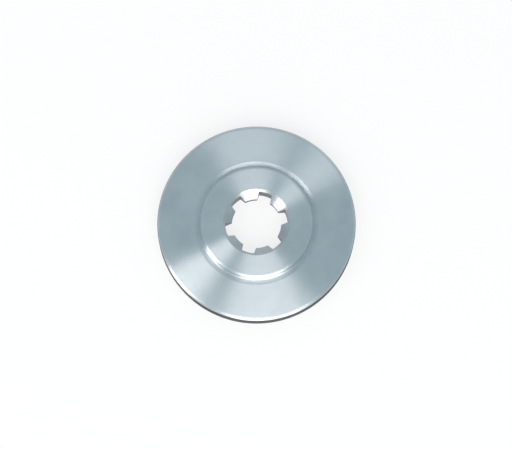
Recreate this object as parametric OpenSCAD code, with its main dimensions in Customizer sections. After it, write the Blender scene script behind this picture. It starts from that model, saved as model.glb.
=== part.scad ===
// Brush cutter blade holder: a flange turned from one piece of steel.
// The blade lies on the ring-shaped seat and is centred by the raised boss.
// Slots broached through the hub leave teeth that the gear head's shaft drives.
// The back lies flat on z = 0, the axis is Z, and the boss points up.

/* [Flange] */
// Outside diameter of the flange
flange_d = 44.2; // [40:0.1:60]
// Thickness of the flange, from its back to the blade seat
flange_t = 4; // [3:0.1:8]
// Radius that rounds the rim of the seat
rim_round = 0.8; // [0.2:0.05:1.2]
// Edge break round the rim of the back, at 45 degrees
back_edge_break = 0.2; // [0.1:0.05:0.8]

/* [Blade boss] */
// Bore of the blade that drops over the boss
blade_bore_d = 25.4; // [22:0.1:30]
// Clearance between the boss and the blade's bore, measured across the diameter
blade_clearance = 0.1; // [0.05:0.05:0.4]
// Height of the boss above the seat, less than a blade is thick
boss_h = 1.1; // [0.9:0.05:2.5]
// Radius round the top of the boss, which leads the blade onto it
boss_round = 0.7; // [0.2:0.05:0.8]

/* [Relief] */
// Width of the shallow cone turned into the seat round the boss
relief_w = 1.3; // [0.6:0.05:2]
// Depth of that cone at the boss's wall
relief_depth = 0.35; // [0.15:0.05:0.5]
// Fillet between the cone and the boss's wall
relief_fillet = 0.25; // [0.1:0.05:0.3]

/* [Spline] */
// Number of teeth, and of the slots between them
spline_teeth = 6; // [4:1:8]
// Diameter across the tips of the teeth
spline_minor_d = 11; // [9:0.1:12]
// Diameter across the roots of the slots
spline_major_d = 14; // [13:0.1:15]
// Width of a slot, between its parallel sides
slot_w = 3; // [2:0.1:3.4]
// Radius in the two root corners of a slot
slot_root_r = 0.25; // [0.1:0.05:0.5]

/* [Countersinks] */
// Angle of both countersinks, measured from the axis
countersink_angle = 45; // [40:1:60]
// Width of the boss side's countersink outside the slots
front_countersink_w = 0.5; // [0.2:0.05:1]
// Width of the back's countersink outside the slots
back_countersink_w = 0.2; // [0.1:0.05:0.8]

/* [Hidden] */

$fn = 144;
over = 1;

flange_r = flange_d / 2;
boss_r = (blade_bore_d - blade_clearance) / 2;
boss_top = flange_t + boss_h;

relief_foot = flange_t - relief_depth;
relief_slope = atan(relief_depth / relief_w);
relief_fillet_x = boss_r + relief_fillet;
relief_fillet_z = relief_foot + relief_fillet * (tan(relief_slope) + 1 / cos(relief_slope));

minor_r = spline_minor_d / 2;
major_r = spline_major_d / 2;
slot_pitch = 360 / spline_teeth;
root_corner_y = slot_w / 2 - slot_root_r;
root_corner_x = sqrt(pow(major_r - slot_root_r, 2) - pow(root_corner_y, 2));

// Half section of a disc whose top edge is rounded
module shoulder_section(r, h, round_r) {
    polygon([[0, 0], [r, 0], [r, h - round_r], [r - round_r, h], [0, h]]);
    translate([r - round_r, h - round_r])
        circle(r = round_r);
}

// Corner that the edge break takes off the rim of the back
module edge_break_section() {
    polygon([
        [flange_r - back_edge_break, 0],
        [flange_r, back_edge_break],
        [flange_r + over, back_edge_break],
        [flange_r + over, -over],
        [flange_r - back_edge_break, -over]
    ]);
}

// Shallow cone that clears the corner of the blade's bore, so that the blade seats flat
module relief_section() {
    polygon([
        [boss_r, relief_foot],
        [boss_r + relief_w, flange_t],
        [boss_r + relief_w, flange_t + over],
        [boss_r, flange_t + over]
    ]);
}

// Fillet at the bottom of the relief, against the boss's wall
module fillet_section() {
    difference() {
        polygon([
            [boss_r, relief_foot],
            [
                relief_fillet_x + relief_fillet * sin(relief_slope),
                relief_fillet_z - relief_fillet * cos(relief_slope)
            ],
            [boss_r, relief_fillet_z]
        ]);
        translate([relief_fillet_x, relief_fillet_z])
            circle(r = relief_fillet);
    }
}

// Everything that the lathe makes, as one revolved section
module turned_body() {
    rotate_extrude() {
        difference() {
            shoulder_section(flange_r, flange_t, rim_round);
            edge_break_section();
            relief_section();
        }
        fillet_section();
        shoulder_section(boss_r, boss_top, boss_round);
    }
}

// Outline of one slot along +X: parallel sides, an arc root and two round corners
module slot_outline() {
    translate([0, -slot_w / 2])
        square([root_corner_x, slot_w]);
    intersection() {
        circle(r = major_r);
        translate([0, -root_corner_y])
            square([major_r + over, 2 * root_corner_y]);
    }
    for (side = [-1, 1])
        translate([root_corner_x, side * root_corner_y])
            circle(r = slot_root_r);
}

// Slots and the bore at the tips of the teeth, through the whole hub
module spline_cut() {
    translate([0, 0, -over]) {
        cylinder(r = minor_r, h = boss_top + 2 * over);
        for (i = [0 : spline_teeth - 1])
            rotate([0, 0, i * slot_pitch])
                linear_extrude(height = boss_top + 2 * over)
                    slot_outline();
    }
}

// Cone that is mouth_r wide at z = 0 and narrows upwards, cut past its mouth
module countersink(mouth_r) {
    depth = mouth_r / tan(countersink_angle);
    flare = over * tan(countersink_angle);
    translate([0, 0, -over])
        cylinder(r1 = mouth_r + flare, r2 = 0, h = depth + over);
}

module blade_holder() {
    color([0.74, 0.77, 0.8])
        difference() {
            turned_body();
            spline_cut();
            countersink(major_r + back_countersink_w);
            translate([0, 0, boss_top])
                mirror([0, 0, 1])
                    countersink(major_r + front_countersink_w);
        }
}

blade_holder();
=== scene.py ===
"""Blade holder of a brush cutter, turned, broached and plated, on a plain studio floor."""

import math

import bpy
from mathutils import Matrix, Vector


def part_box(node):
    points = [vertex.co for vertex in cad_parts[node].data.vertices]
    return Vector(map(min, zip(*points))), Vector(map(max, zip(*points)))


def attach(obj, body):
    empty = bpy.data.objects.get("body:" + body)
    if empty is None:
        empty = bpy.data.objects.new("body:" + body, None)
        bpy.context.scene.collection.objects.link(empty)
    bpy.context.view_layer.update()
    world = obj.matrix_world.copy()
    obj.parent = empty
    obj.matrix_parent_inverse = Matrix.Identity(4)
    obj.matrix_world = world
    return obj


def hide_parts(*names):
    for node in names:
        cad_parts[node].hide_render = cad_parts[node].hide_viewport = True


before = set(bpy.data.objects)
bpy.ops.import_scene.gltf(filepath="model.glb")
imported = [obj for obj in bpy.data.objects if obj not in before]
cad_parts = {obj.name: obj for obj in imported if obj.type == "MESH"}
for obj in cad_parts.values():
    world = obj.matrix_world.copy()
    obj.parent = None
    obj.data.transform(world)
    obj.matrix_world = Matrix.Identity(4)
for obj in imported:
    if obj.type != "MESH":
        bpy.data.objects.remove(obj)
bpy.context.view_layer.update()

bl_info = {
    "name": "Brush Cutter Blade Holder",
    "version": (1, 0, 0),
    "blender": (4, 5, 0),
    "location": "View3D > Sidebar > Blade Holder",
    "description": "Turns, broaches and plates a blade holder, and sets up its studio",
    "category": "Object",
}

MM = 0.001
CAD_NODE = "blade_holder"
CAD_BODY = "root"
CAD_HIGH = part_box(CAD_NODE)[1]

PHOTO_WIDTH = 512
SENSOR_WIDTH = 36.0

# Straight pieces in the arcs of the section
EDGE_STEPS = 4
FILLET_STEPS = 8
ROUND_STEPS = 12
# Points closer than this are one point where the turned skin meets itself
WELD_DISTANCE = 0.0005 * MM
# Edges sharper than this stay crisp
CRISP_ANGLE = math.radians(32)
# A face is upright when its normal rises less than this
UPRIGHT_LIMIT = 0.5
# The outer wall starts at this share of the flange's radius
WALL_SHARE = 0.99


def length(name, description, millimetres):
    """A size of the holder, kept in metres and shown as a length."""
    return bpy.props.FloatProperty(
        name=name, description=description, default=millimetres * MM,
        min=0.0, precision=5, subtype="DISTANCE", unit="LENGTH")


def colour(name, description, value):
    """A plain linear colour."""
    return bpy.props.FloatVectorProperty(
        name=name, description=description, default=value,
        size=3, min=0.0, max=1.0, subtype="COLOR")


def angle(name, description, degrees):
    """An angle, kept in radians and shown in degrees."""
    return bpy.props.FloatProperty(
        name=name, description=description, default=math.radians(degrees), subtype="ANGLE")


def amount(name, description, value, low=0.0, high=1.0):
    """A plain number between two limits."""
    return bpy.props.FloatProperty(
        name=name, description=description, default=value, min=low, max=high)


class HolderSizes(bpy.types.PropertyGroup):
    """Sizes of the turned flange, as the CAD solid has them."""

    flange_radius: length("Flange Radius", "Outside radius of the flange", CAD_HIGH.x / MM)
    seat_height: length("Seat Height", "Height of the blade seat above the back", 4.0)
    rim_round: length("Rim Round", "Radius that rounds the rim of the seat", 0.8)
    back_edge_break: length("Back Edge Break", "Bevel round the rim of the back", 0.2)
    boss_height: length("Boss Height", "Height of the boss above the back", CAD_HIGH.z / MM)
    boss_radius: length("Boss Radius", "Radius of the boss that centres the blade", 12.65)
    boss_round: length("Boss Round", "Radius round the top of the boss", 0.7)
    relief_width: length("Relief Width", "Width of the shallow cone at the boss's foot", 1.3)
    relief_depth: length("Relief Depth", "Depth of that cone at the boss's wall", 0.35)
    relief_fillet: length("Relief Fillet", "Fillet between the cone and the boss's wall", 0.25)
    edge_round: length("Edge Round", "Rounding that plating leaves on each edge", 0.07)
    steps_around: bpy.props.IntProperty(
        name="Steps Around", description="Faces round the turned surfaces",
        default=720, min=60, max=1440)


class SplineSizes(bpy.types.PropertyGroup):
    """Sizes of the broached hub and of its two countersinks."""

    slots: bpy.props.IntProperty(
        name="Slots", description="Slots broached round the hub", default=6, min=2, max=12)
    tip_radius: length("Tip Radius", "Radius at the tips of the teeth", 5.5)
    root_radius: length("Root Radius", "Radius at the roots of the slots", 7.0)
    slot_width: length("Slot Width", "Width between a slot's parallel sides", 3.0)
    corner_radius: length("Corner Radius", "Radius in a slot's two root corners", 0.25)
    front_mouth_radius: length("Front Mouth", "Radius of the boss side's countersink", 7.5)
    back_mouth_radius: length("Back Mouth", "Radius of the back's countersink", 7.2)
    countersink_angle: angle("Countersink Angle", "Slope of both cones from the axis", 45)


class PlatingFinish(bpy.types.PropertyGroup):
    """Colours and marks of the bright zinc plating, and the painted shade of the outer wall and of the
    slots.
    """

    zinc: colour("Zinc", "Colour of the plating on a clean face", (0.64, 0.675, 0.695))
    dull_zinc: colour("Dull Zinc", "Colour where the plating is hazy", (0.57, 0.61, 0.635))
    # painted shade: a near-black colour on the outer wall, standing in for the dark reflection of the
    # shadowed floor at its foot
    rim_painted_shade: colour("Rim Painted Shade", "Colour of the outer wall's painted shade", (0.055, 0.055, 0.06))
    # painted shade: a near-black colour deep in the broached slots, where shade falls
    slot_painted_shade: colour("Slot Painted Shade", "Colour deep in the broached slots", (0.06, 0.065, 0.075))
    roughness: amount("Roughness", "Roughness of the turned faces", 0.32)
    anisotropy: amount("Anisotropy", "How far the marks stretch a highlight", 1.0)
    feed: length("Feed", "Advance of the lathe tool in each turn", 0.18)
    ring_depth: length("Ring Depth", "Depth of the turning marks", 0.02)
    streak_depth: length("Streak Depth", "Depth of the faint radial streaks", 0.004)
    grain_size: length("Grain Size", "Size of the grain in the plating", 0.3)
    grain_depth: length("Grain Depth", "Depth of that grain", 0.006)
    dish: amount("Dish", "Slope that the faces gain towards the rim, for each metre", 4.0, 0.0, 20.0)


class StudioSettings(bpy.types.PropertyGroup):
    """Floor, lamps and camera."""

    floor: colour("Floor", "Colour of the studio floor", (0.82, 0.82, 0.82))
    backdrop: colour("Backdrop", "Colour at which the floor shows", (1.0, 1.0, 1.0))
    backdrop_share: amount("Backdrop Share", "How far the floor shows that colour", 0.8)
    sky: colour("Sky", "Colour of the light from above", (0.50, 0.62, 0.67))
    horizon: colour("Horizon", "Colour of the light from the sides", (0.62, 0.68, 0.70))
    floor_reach: amount("Floor Reach", "Metres of floor on each side of the axis", 3.0, 0.5, 10.0)
    floor_drop: length("Floor Drop", "Gap between the back and the floor", 0.02)
    lamp_tint: colour("Lamp Tint", "Colour of both lamps", (1.0, 0.93, 0.90))
    lamp_glow: amount("Lamp Glow", "Brightness of both lamps' faces", 3.0, 0.0, 20.0)
    lamp_elevation: angle("Lamp Elevation", "Height of both lamps above the floor", 35)
    lamp_height: amount("Lamp Height", "Height of both lamps' faces, in metres", 1.25, 0.05, 5.0)
    near_azimuth: angle("Near Azimuth", "Direction of the near lamp, counted in the picture", 277)
    near_width: amount("Near Width", "Width of the near lamp, in metres", 0.90, 0.05, 5.0)
    side_azimuth: angle("Side Azimuth", "Direction of the side lamp, counted in the picture", 209)
    side_width: amount("Side Width", "Width of the side lamp, in metres", 0.36, 0.05, 5.0)
    camera_azimuth: angle("Camera Azimuth", "Direction of the camera round the axis", -13)
    camera_elevation: angle("Camera Elevation", "Height of the camera above the floor", 79.5)
    lens: bpy.props.FloatProperty(
        name="Lens", description="Focal length of the camera", default=200.0, unit="CAMERA")
    pixel: length("Pixel", "Size of the object that one pixel covers", 0.224)
    frame_right: amount("Frame Right", "Pixels from the centre to the axis", 0.5, -99, 99)
    frame_down: amount("Frame Down", "Pixels from the centre down to the axis", 1.67, -99, 99)


class NodeBench:
    """Adds nodes to a tree and wires them up, so that a formula reads as one."""

    def __init__(self, tree):
        self.tree = tree

    def node(self, kind, inputs=None, **settings):
        """A node with its settings, its inputs given by name or number."""
        made = self.tree.nodes.new(kind)
        for name, value in settings.items():
            setattr(made, name, value)
        for name, value in (inputs or {}).items():
            self.feed(made.inputs[name], value)
        return made

    def feed(self, socket, value):
        """A socket takes either a link or a plain value."""
        if isinstance(value, bpy.types.NodeSocket):
            self.tree.links.new(value, socket)
        else:
            socket.default_value = value

    def math(self, operation, *values, clamp=False):
        """One maths node."""
        inputs = dict(enumerate(values))
        return self.node("ShaderNodeMath", inputs, operation=operation, use_clamp=clamp).outputs[0]

    def add(self, a, b):
        return self.math("ADD", a, b)

    def sub(self, a, b):
        return self.math("SUBTRACT", a, b)

    def mul(self, a, b):
        return self.math("MULTIPLY", a, b)

    def div(self, a, b):
        return self.math("DIVIDE", a, b)

    def choose(self, test, yes, no):
        """yes where test is 1, no where it is 0, and a blend between."""
        return self.math("MULTIPLY_ADD", test, self.sub(yes, no), no)


def group_socket(tree, name, kind, direction="INPUT", default=None):
    """A named socket on a node group."""
    made = tree.interface.new_socket(name=name, in_out=direction, socket_type=kind)
    if default is not None:
        made.default_value = default
    return made


def edge_points(before, corner, after, radius, steps, guard=0.02 * MM):
    """Points that round one corner of a section, with a guard point on each side of the arc."""
    to_before = (before - corner).normalized()
    to_after = (after - corner).normalized()
    half_opening = to_before.angle(to_after) / 2
    reach = radius / math.tan(half_opening)
    centre = corner + (to_before + to_after).normalized() * radius / math.sin(half_opening)
    start = corner + to_before * reach - centre
    turn = start.angle_signed(corner + to_after * reach - centre)
    arc = []
    for i in range(steps + 1):
        swing = -turn * i / steps
        spoke = Vector((
            start.x * math.cos(swing) - start.y * math.sin(swing),
            start.x * math.sin(swing) + start.y * math.cos(swing)))
        arc.append(centre + spoke)
    first = corner + to_before * (reach + guard)
    last = corner + to_after * (reach + guard)
    return [first, *arc, last]


def holder_section(sizes, spline):
    """Closed outline of the holder through the middle of a tooth, as radius and height."""
    cone = math.tan(spline.countersink_angle)
    back_lip = (spline.back_mouth_radius - spline.tip_radius) / cone
    front_lip = sizes.boss_height - (spline.front_mouth_radius - spline.tip_radius) / cone
    relief_foot = sizes.seat_height - sizes.relief_depth
    relief_radius = sizes.boss_radius + sizes.relief_width
    edge = sizes.edge_round
    corners = [
        (Vector((spline.front_mouth_radius, sizes.boss_height)), edge, EDGE_STEPS),
        (Vector((sizes.boss_radius, sizes.boss_height)), sizes.boss_round, ROUND_STEPS),
        (Vector((sizes.boss_radius, relief_foot)), sizes.relief_fillet, FILLET_STEPS),
        (Vector((relief_radius, sizes.seat_height)), edge, EDGE_STEPS),
        (Vector((sizes.flange_radius, sizes.seat_height)), sizes.rim_round, ROUND_STEPS),
        (Vector((sizes.flange_radius, sizes.back_edge_break)), edge, EDGE_STEPS),
        (Vector((sizes.flange_radius - sizes.back_edge_break, 0.0)), edge, EDGE_STEPS),
        (Vector((spline.back_mouth_radius, 0.0)), edge, EDGE_STEPS),
        (Vector((spline.tip_radius, back_lip)), edge, EDGE_STEPS),
        (Vector((spline.tip_radius, front_lip)), edge, EDGE_STEPS),
    ]
    outline = []
    for i, (corner, radius, steps) in enumerate(corners):
        before = corners[i - 1][0]
        after = corners[(i + 1) % len(corners)][0]
        outline += edge_points(before, corner, after, radius, steps)
    return outline + outline[:1]


def slot_radius(bench, turn, spline):
    """Radius of the broached outline in the direction that turn gives, as a field."""
    pitch = bench.div(math.tau, spline["Slots"])
    half_pitch = bench.mul(pitch, 0.5)
    low = bench.mul(half_pitch, -1.0)
    lean = bench.math("ABSOLUTE", bench.math("WRAP", turn, half_pitch, low))
    sine, cosine = bench.math("SINE", lean), bench.math("COSINE", lean)
    half_width = bench.mul(spline["Slot Width"], 0.5)
    corner_y = bench.sub(half_width, spline["Corner Radius"])
    spoke = bench.sub(spline["Root Radius"], spline["Corner Radius"])
    corner_x = bench.math("SQRT", bench.sub(bench.mul(spoke, spoke), bench.mul(corner_y, corner_y)))
    along = bench.add(bench.mul(corner_x, cosine), bench.mul(corner_y, sine))
    across = bench.sub(bench.mul(corner_x, sine), bench.mul(corner_y, cosine))
    corner_square = bench.mul(spline["Corner Radius"], spline["Corner Radius"])
    rise = bench.math("MAXIMUM", bench.sub(corner_square, bench.mul(across, across)), 0.0)
    corner = bench.add(along, bench.math("SQRT", rise))
    side = bench.div(half_width, bench.math("MAXIMUM", sine, 0.001))
    past_root = bench.math("GREATER_THAN", lean, bench.math("ARCTAN2", corner_y, corner_x))
    past_corner = bench.math("GREATER_THAN", lean, bench.math("ARCTAN2", half_width, corner_x))
    outline = bench.choose(past_root, corner, spline["Root Radius"])
    outline = bench.choose(past_corner, side, outline)
    return bench.math("MAXIMUM", outline, spline["Tip Radius"])


def lathe_tree():
    """Geometry tree that turns a section round Z and broaches the hub."""
    tree = bpy.data.node_groups.new("Turn and Broach", "GeometryNodeTree")
    group_socket(tree, "Section", "NodeSocketGeometry")
    group_socket(tree, "Steps Around", "NodeSocketInt", default=720)
    group_socket(tree, "Slots", "NodeSocketFloat", default=6.0)
    for name in ("Height", "Flange Radius", "Tip Radius", "Root Radius", "Slot Width", "Corner Radius",
                 "Front Mouth", "Back Mouth", "Cone Slope"):
        group_socket(tree, name, "NodeSocketFloat")
    group_socket(tree, "Turned Finish", "NodeSocketMaterial")
    # these two materials carry painted shade, on the bore's walls and on the outer wall
    group_socket(tree, "Painted Shade in Bore", "NodeSocketMaterial")
    group_socket(tree, "Painted Shade on Rim", "NodeSocketMaterial")
    group_socket(tree, "Holder", "NodeSocketGeometry", "OUTPUT")
    bench = NodeBench(tree)
    given = bench.node("NodeGroupInput").outputs

    points = bench.node("GeometryNodeAttributeDomainSize", {"Geometry": given["Section"]},
                        component="MESH").outputs["Point Count"]
    columns = bench.add(given["Steps Around"], 1.0)
    grid = bench.node("GeometryNodeMeshGrid", {"Vertices X": columns, "Vertices Y": points})
    index = bench.node("GeometryNodeInputIndex").outputs[0]
    column = bench.math("FLOOR", bench.div(bench.add(index, 0.5), points))
    row = bench.sub(index, bench.mul(column, points))
    turn = bench.mul(bench.div(column, given["Steps Around"]), math.tau)
    place = bench.node("GeometryNodeInputPosition").outputs[0]
    sampled = bench.node("GeometryNodeSampleIndex", {"Geometry": given["Section"], "Index": row},
                         data_type="FLOAT_VECTOR", domain="POINT")
    vector_input = [s for s in sampled.inputs if s.name == "Value" and s.enabled][0]
    vector_output = [s for s in sampled.outputs if s.enabled][0]
    tree.links.new(place, vector_input)
    section = bench.node("ShaderNodeSeparateXYZ", {0: vector_output}).outputs
    radius, height = section["X"], section["Z"]

    outline = slot_radius(bench, turn, given)
    front_reach = bench.sub(given["Front Mouth"], given["Tip Radius"])
    back_reach = bench.sub(given["Back Mouth"], given["Tip Radius"])
    front_lip = bench.sub(given["Height"], bench.mul(front_reach, given["Cone Slope"]))
    back_lip = bench.mul(back_reach, given["Cone Slope"])
    front = bench.math("DIVIDE", bench.sub(height, back_lip), bench.sub(front_lip, back_lip),
                       clamp=True)
    front_scale = bench.div(bench.sub(given["Front Mouth"], outline), front_reach)
    back_scale = bench.div(bench.sub(given["Back Mouth"], outline), back_reach)
    mouth = bench.choose(front, given["Front Mouth"], given["Back Mouth"])
    scale = bench.choose(front, front_scale, back_scale)
    in_hub = bench.math("LESS_THAN", radius, mouth)
    hub_radius_front = bench.add(given["Front Mouth"], bench.mul(
        bench.sub(radius, given["Front Mouth"]), front_scale))
    hub_radius_back = bench.add(given["Back Mouth"], bench.mul(
        bench.sub(radius, given["Back Mouth"]), back_scale))
    hub_height_front = bench.add(given["Height"], bench.mul(
        bench.sub(height, given["Height"]), front_scale))
    hub_height_back = bench.mul(height, back_scale)
    hub_radius = bench.choose(front, hub_radius_front, hub_radius_back)
    hub_height = bench.choose(front, hub_height_front, hub_height_back)
    final_radius = bench.choose(in_hub, hub_radius, radius)
    final_height = bench.choose(in_hub, hub_height, height)
    spot = bench.node("ShaderNodeCombineXYZ", {
        "X": bench.mul(final_radius, bench.math("COSINE", turn)),
        "Y": bench.mul(final_radius, bench.math("SINE", turn)),
        "Z": final_height}).outputs[0]

    turned = bench.node("GeometryNodeSetPosition",
                        {"Geometry": grid.outputs["Mesh"], "Position": spot})
    welded = bench.node("GeometryNodeMergeByDistance",
                        {"Geometry": turned.outputs[0], "Distance": WELD_DISTANCE})
    outward = bench.node("GeometryNodeFlipFaces", {"Mesh": welded.outputs[0]})
    smooth = bench.node("GeometryNodeSetShadeSmooth", {"Geometry": outward.outputs[0]},
                        domain="FACE")
    edge_angle = bench.node("GeometryNodeInputMeshEdgeAngle").outputs["Unsigned Angle"]
    crisp = bench.node("GeometryNodeSetShadeSmooth", {
        "Geometry": smooth.outputs[0],
        "Selection": bench.math("GREATER_THAN", edge_angle, CRISP_ANGLE),
        "Shade Smooth": False}, domain="EDGE")
    turned_look = bench.node("GeometryNodeSetMaterial", {
        "Geometry": crisp.outputs[0], "Material": given["Turned Finish"]})
    face = bench.node("ShaderNodeSeparateXYZ", {
        0: bench.node("GeometryNodeInputNormal").outputs[0]}).outputs
    where = bench.node("ShaderNodeSeparateXYZ", {0: place}).outputs
    distance = bench.math("SQRT", bench.add(
        bench.mul(where["X"], where["X"]), bench.mul(where["Y"], where["Y"])))
    upright = bench.math("LESS_THAN", bench.math("ABSOLUTE", face["Z"]), UPRIGHT_LIMIT)
    # painted shade: the upright walls of the bore get the near-black slot colour
    in_bore = bench.math("LESS_THAN", distance, given["Front Mouth"])
    painted_bore_shade = bench.node("GeometryNodeSetMaterial", {
        "Geometry": turned_look.outputs[0],
        "Selection": bench.mul(upright, in_bore),
        "Material": given["Painted Shade in Bore"]})
    # painted shade: the upright outer wall gets the near-black rim colour
    at_rim = bench.math("GREATER_THAN", distance, bench.mul(given["Flange Radius"], WALL_SHARE))
    painted_rim_shade = bench.node("GeometryNodeSetMaterial", {
        "Geometry": painted_bore_shade.outputs[0],
        "Selection": bench.mul(upright, at_rim),
        "Material": given["Painted Shade on Rim"]})
    real = bench.node("GeometryNodeRealizeInstances", {"Geometry": painted_rim_shade.outputs[0]})
    bench.node("NodeGroupOutput", {"Holder": real.outputs[0]})
    return tree


def set_modifier_input(modifier, name, value):
    """A modifier's input is found by its socket's identifier."""
    for item in modifier.node_group.interface.items_tree:
        if item.item_type == "SOCKET" and item.in_out == "INPUT" and item.name == name:
            modifier[item.identifier] = value
            return
    raise ValueError(f"the tree has no input named {name}")


def turning_marks():
    """Shared marks of the lathe: rings, radial streaks, grain and the slight dish of a face."""
    tree = bpy.data.node_groups.new("Turning Marks", "ShaderNodeTree")
    group_socket(tree, "Place", "NodeSocketVector")
    for name in ("Feed", "Ring Depth", "Streak Depth", "Grain Size", "Grain Depth", "Dish"):
        group_socket(tree, name, "NodeSocketFloat")
    group_socket(tree, "Height", "NodeSocketFloat", "OUTPUT")
    group_socket(tree, "Haze", "NodeSocketFloat", "OUTPUT")
    bench = NodeBench(tree)
    given = bench.node("NodeGroupInput").outputs
    spot = bench.node("ShaderNodeSeparateXYZ", {0: given["Place"]}).outputs
    radius = bench.math("SQRT", bench.add(
        bench.mul(spot["X"], spot["X"]), bench.mul(spot["Y"], spot["Y"])))
    turn = bench.math("ARCTAN2", spot["Y"], spot["X"])
    cosine, sine = bench.math("COSINE", turn), bench.math("SINE", turn)

    def polar_noise(around, outward, detail):
        """Noise with so many cells in each radian, along the given outward count."""
        vector = bench.node("ShaderNodeCombineXYZ", {
            "X": bench.mul(cosine, around), "Y": bench.mul(sine, around), "Z": outward})
        return bench.node("ShaderNodeTexNoise", {
            "Vector": vector.outputs[0], "Scale": 1.0, "Detail": detail, "Roughness": 0.6},
            noise_dimensions="3D").outputs[0]

    ring_cells = 1.5
    streak_cells = 57.0
    streak_cells_outward = 120.0
    haze_cells = 160.0
    rings = polar_noise(ring_cells, bench.div(bench.add(radius, spot["Z"]), given["Feed"]), 2.0)
    streaks = polar_noise(streak_cells, bench.mul(radius, streak_cells_outward), 2.0)
    grain = bench.node("ShaderNodeTexNoise", {
        "Vector": given["Place"], "Scale": bench.div(1.0, given["Grain Size"]), "Detail": 1.0},
        noise_dimensions="3D").outputs[0]
    haze = bench.node("ShaderNodeTexNoise", {
        "Vector": given["Place"], "Scale": haze_cells, "Detail": 4.0, "Roughness": 0.55},
        noise_dimensions="3D").outputs[0]
    dish = bench.mul(bench.mul(radius, radius), bench.mul(given["Dish"], -0.5))
    height = bench.add(bench.mul(rings, given["Ring Depth"]), dish)
    height = bench.add(height, bench.mul(streaks, given["Streak Depth"]))
    height = bench.add(height, bench.mul(grain, given["Grain Depth"]))
    bench.node("NodeGroupOutput", {"Height": height, "Haze": haze})
    return tree


def plated_steel(name, finish, marks, clean, dull, roughness, anisotropy):
    """Bright zinc over machined steel, with marks that run round the axis; given near-black colours,
    it paints shade.
    """
    material = bpy.data.materials.new(name)
    material.use_nodes = True
    tree = material.node_tree
    tree.nodes.clear()
    bench = NodeBench(tree)
    place = bench.node("ShaderNodeTexCoord").outputs["Object"]
    worked = bench.node("ShaderNodeGroup", node_tree=marks)
    sizes = {
        "Place": place,
        "Feed": finish.feed,
        "Ring Depth": finish.ring_depth,
        "Streak Depth": finish.streak_depth,
        "Grain Size": finish.grain_size,
        "Grain Depth": finish.grain_depth,
        "Dish": finish.dish,
    }
    for socket, value in sizes.items():
        bench.feed(worked.inputs[socket], value)
    haze = bench.node("ShaderNodeMapRange", {
        "Value": worked.outputs["Haze"], "From Min": 0.35, "From Max": 0.7}).outputs[0]
    tone = bench.node("ShaderNodeMix", {
        0: haze, 6: (*clean, 1.0), 7: (*dull, 1.0)}, data_type="RGBA")
    rough = bench.node("ShaderNodeMapRange", {
        "Value": haze, "To Min": roughness - 0.02, "To Max": roughness + 0.03}).outputs[0]
    bump = bench.node("ShaderNodeBump", {
        "Height": worked.outputs["Height"], "Strength": 1.0, "Distance": 1.0})
    tangent = bench.node("ShaderNodeTangent", direction_type="RADIAL", axis="Z")
    shader = bench.node("ShaderNodeBsdfPrincipled", {
        "Base Color": tone.outputs[2], "Metallic": 1.0, "Roughness": rough,
        "Normal": bump.outputs[0], "Anisotropic": anisotropy,
        "Anisotropic Rotation": 0.25, "Tangent": tangent.outputs[0]})
    bench.node("ShaderNodeOutputMaterial", {"Surface": shader.outputs[0]})
    return material


class HOLDER_OT_make_blade_holder(bpy.types.Operator):
    """Turn the flange, broach its hub and plate it"""

    bl_idname = "holder.make_blade_holder"
    bl_label = "Make Blade Holder"

    def execute(self, context):
        sizes = context.scene.holder_sizes
        spline = context.scene.spline_sizes
        finish = context.scene.plating_finish
        outline = holder_section(sizes, spline)
        mesh = bpy.data.meshes.new("holder_section")
        mesh.from_pydata([(p.x, 0.0, p.y) for p in outline],
                         [(i, i + 1) for i in range(len(outline) - 1)], [])
        section = bpy.data.objects.new("holder_section", mesh)
        context.scene.collection.objects.link(section)
        marks = turning_marks()
        turned = plated_steel("turned_zinc", finish, marks, finish.zinc, finish.dull_zinc,
                              finish.roughness, finish.anisotropy)
        # painted shade: near-black colour for the broached walls, which keep their own lower
        # anisotropy
        broached = plated_steel("broached_zinc_painted_shade", finish, marks, finish.slot_painted_shade,
                                finish.slot_painted_shade, finish.roughness, 0.3)
        # painted shade: near-black colour for the outer wall
        rim = plated_steel("rim_zinc_painted_shade", finish, marks, finish.rim_painted_shade, finish.rim_painted_shade,
                           finish.roughness, finish.anisotropy)
        modifier = section.modifiers.new("Turn and Broach", "NODES")
        modifier.node_group = lathe_tree()
        inputs = {
            "Steps Around": sizes.steps_around,
            "Slots": float(spline.slots),
            "Height": sizes.boss_height,
            "Flange Radius": sizes.flange_radius,
            "Tip Radius": spline.tip_radius,
            "Root Radius": spline.root_radius,
            "Slot Width": spline.slot_width,
            "Corner Radius": spline.corner_radius,
            "Front Mouth": spline.front_mouth_radius,
            "Back Mouth": spline.back_mouth_radius,
            "Cone Slope": 1.0 / math.tan(spline.countersink_angle),
            "Turned Finish": turned,
            "Painted Shade in Bore": broached,
            "Painted Shade on Rim": rim,
        }
        for name, value in inputs.items():
            set_modifier_input(modifier, name, value)
        graph = context.evaluated_depsgraph_get()
        made = bpy.data.meshes.new_from_object(section.evaluated_get(graph))
        bpy.data.objects.remove(section)
        if not made.polygons:
            raise RuntimeError("the turned section gave no faces")
        holder = bpy.data.objects.new("turned_blade_holder", made)
        context.scene.collection.objects.link(holder)
        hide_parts(CAD_NODE)
        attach(holder, CAD_BODY)
        return {"FINISHED"}


def aim(thing, place, target):
    """Puts a lamp or camera at a place, looking at a target."""
    thing.location = place
    thing.rotation_mode = "QUATERNION"
    thing.rotation_quaternion = (target - place).to_track_quat("-Z", "Y")


def direction(azimuth, elevation):
    """Unit vector towards a compass angle round +Z and a height, both in radians."""
    return Vector((
        math.cos(azimuth) * math.cos(elevation),
        math.sin(azimuth) * math.cos(elevation),
        math.sin(elevation)))


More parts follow.
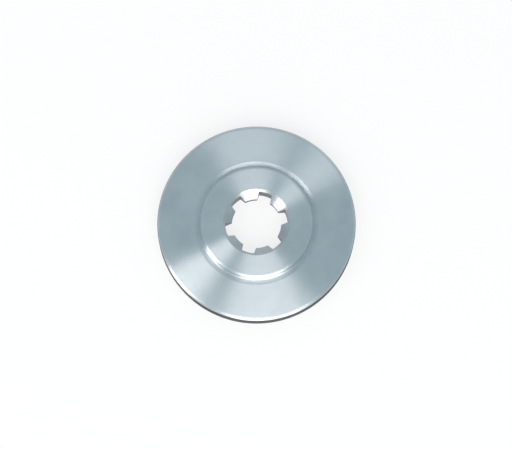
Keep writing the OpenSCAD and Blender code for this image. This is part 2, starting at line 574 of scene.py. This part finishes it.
def soft_panel(scene, name, azimuth, width):
    """Soft lamp a metre away, its azimuth counted in the picture."""
    studio = scene.studio
    data = bpy.data.lights.new(name, "AREA")
    data.shape = "RECTANGLE"
    data.size = width
    data.size_y = studio.lamp_height
    data.energy = studio.lamp_glow * math.pi * width * studio.lamp_height
    data.color = studio.lamp_tint
    lamp = bpy.data.objects.new(name, data)
    scene.collection.objects.link(lamp)
    place = direction(azimuth + studio.camera_azimuth, studio.lamp_elevation)
    aim(lamp, place, Vector((0, 0, 0)))
    lamp.visible_camera = False


def floor_material(studio):
    """Pale floor that shows its backdrop colour to the camera and to gloss, with a faint shadow."""
    material = bpy.data.materials.new("studio_floor")
    material.use_nodes = True
    tree = material.node_tree
    tree.nodes.clear()
    bench = NodeBench(tree)
    plain = bench.node("ShaderNodeBsdfDiffuse", {"Color": (*studio.floor, 1.0)})
    shown = bench.node("ShaderNodeEmission", {"Color": (*studio.backdrop, 1.0)})
    path = bench.node("ShaderNodeLightPath").outputs
    seen = bench.math("MAXIMUM", path["Is Camera Ray"], path["Is Glossy Ray"])
    seen = bench.math("MAXIMUM", seen, path["Is Transmission Ray"])
    mixed = bench.node("ShaderNodeMixShader", {
        0: bench.mul(seen, studio.backdrop_share), 1: plain.outputs[0], 2: shown.outputs[0]})
    bench.node("ShaderNodeOutputMaterial", {"Surface": mixed.outputs[0]})
    return material


def studio_world(studio):
    """Even light from above that pales towards the horizon."""
    world = bpy.data.worlds.new("studio_world")
    world.use_nodes = True
    world.node_tree.nodes.clear()
    bench = NodeBench(world.node_tree)
    toward = bench.node("ShaderNodeTexCoord").outputs["Generated"]
    rise = bench.node("ShaderNodeSeparateXYZ", {0: toward}).outputs["Z"]
    above = bench.node("ShaderNodeMapRange", {
        "Value": rise, "From Min": 0.0, "From Max": 0.35}, interpolation_type="SMOOTHSTEP")
    tone = bench.node("ShaderNodeMix", {
        0: above.outputs[0], 6: (*studio.horizon, 1.0), 7: (*studio.sky, 1.0)},
        data_type="RGBA")
    glow = bench.node("ShaderNodeBackground", {"Color": tone.outputs[2]})
    bench.node("ShaderNodeOutputWorld", {"Surface": glow.outputs[0]})
    return world


class HOLDER_OT_set_studio(bpy.types.Operator):
    """Lay the floor, hang the lamps and place the camera"""

    bl_idname = "holder.set_studio"
    bl_label = "Set Studio"

    def execute(self, context):
        studio = context.scene.studio
        scene = context.scene
        half = studio.floor_reach
        level = -studio.floor_drop
        mesh = bpy.data.meshes.new("studio_floor")
        mesh.from_pydata([(-half, -half, level), (half, -half, level),
                          (half, half, level), (-half, half, level)], [], [(0, 1, 2, 3)])
        mesh.materials.append(floor_material(studio))
        floor = bpy.data.objects.new("studio_floor", mesh)
        scene.collection.objects.link(floor)

        scene.world = studio_world(studio)
        soft_panel(scene, "near_panel", studio.near_azimuth, studio.near_width)
        soft_panel(scene, "side_panel", studio.side_azimuth, studio.side_width)

        data = bpy.data.cameras.new("camera")
        data.lens = studio.lens
        data.sensor_width = SENSOR_WIDTH
        camera = bpy.data.objects.new("camera", data)
        scene.collection.objects.link(camera)
        distance = studio.lens * studio.pixel * PHOTO_WIDTH / SENSOR_WIDTH
        azimuth = studio.camera_azimuth - math.pi / 2
        back = direction(azimuth, studio.camera_elevation)
        right = Vector((-math.sin(azimuth), math.cos(azimuth), 0.0))
        up = back.cross(right)
        target = (up * studio.frame_down - right * studio.frame_right) * studio.pixel
        aim(camera, target + back * distance, target)
        data.clip_start = distance / 10
        data.clip_end = distance * 20
        scene.camera = camera
        scene.view_settings.view_transform = "Standard"
        return {"FINISHED"}


class HOLDER_PT_sidebar(bpy.types.Panel):
    """Buttons and sizes of the blade holder"""

    bl_idname = "HOLDER_PT_sidebar"
    bl_label = "Blade Holder"
    bl_space_type = "VIEW_3D"
    bl_region_type = "UI"
    bl_category = "Blade Holder"

    def draw(self, context):
        layout = self.layout
        for group in (context.scene.holder_sizes, context.scene.spline_sizes,
                      context.scene.plating_finish, context.scene.studio):
            for name in group.__annotations__:
                layout.prop(group, name)
        layout.operator(HOLDER_OT_make_blade_holder.bl_idname)
        layout.operator(HOLDER_OT_set_studio.bl_idname)


CLASSES = (HolderSizes, SplineSizes, PlatingFinish, StudioSettings,
           HOLDER_OT_make_blade_holder, HOLDER_OT_set_studio, HOLDER_PT_sidebar)


def register():
    for cls in CLASSES:
        bpy.utils.register_class(cls)
    bpy.types.Scene.holder_sizes = bpy.props.PointerProperty(type=HolderSizes)
    bpy.types.Scene.spline_sizes = bpy.props.PointerProperty(type=SplineSizes)
    bpy.types.Scene.plating_finish = bpy.props.PointerProperty(type=PlatingFinish)
    bpy.types.Scene.studio = bpy.props.PointerProperty(type=StudioSettings)


def unregister():
    for name in ("studio", "plating_finish", "spline_sizes", "holder_sizes"):
        delattr(bpy.types.Scene, name)
    for cls in reversed(CLASSES):
        bpy.utils.unregister_class(cls)


def main():
    """Makes the whole scene."""
    register()
    bpy.ops.holder.make_blade_holder()
    bpy.ops.holder.set_studio()


if __name__ == "__main__":
    main()
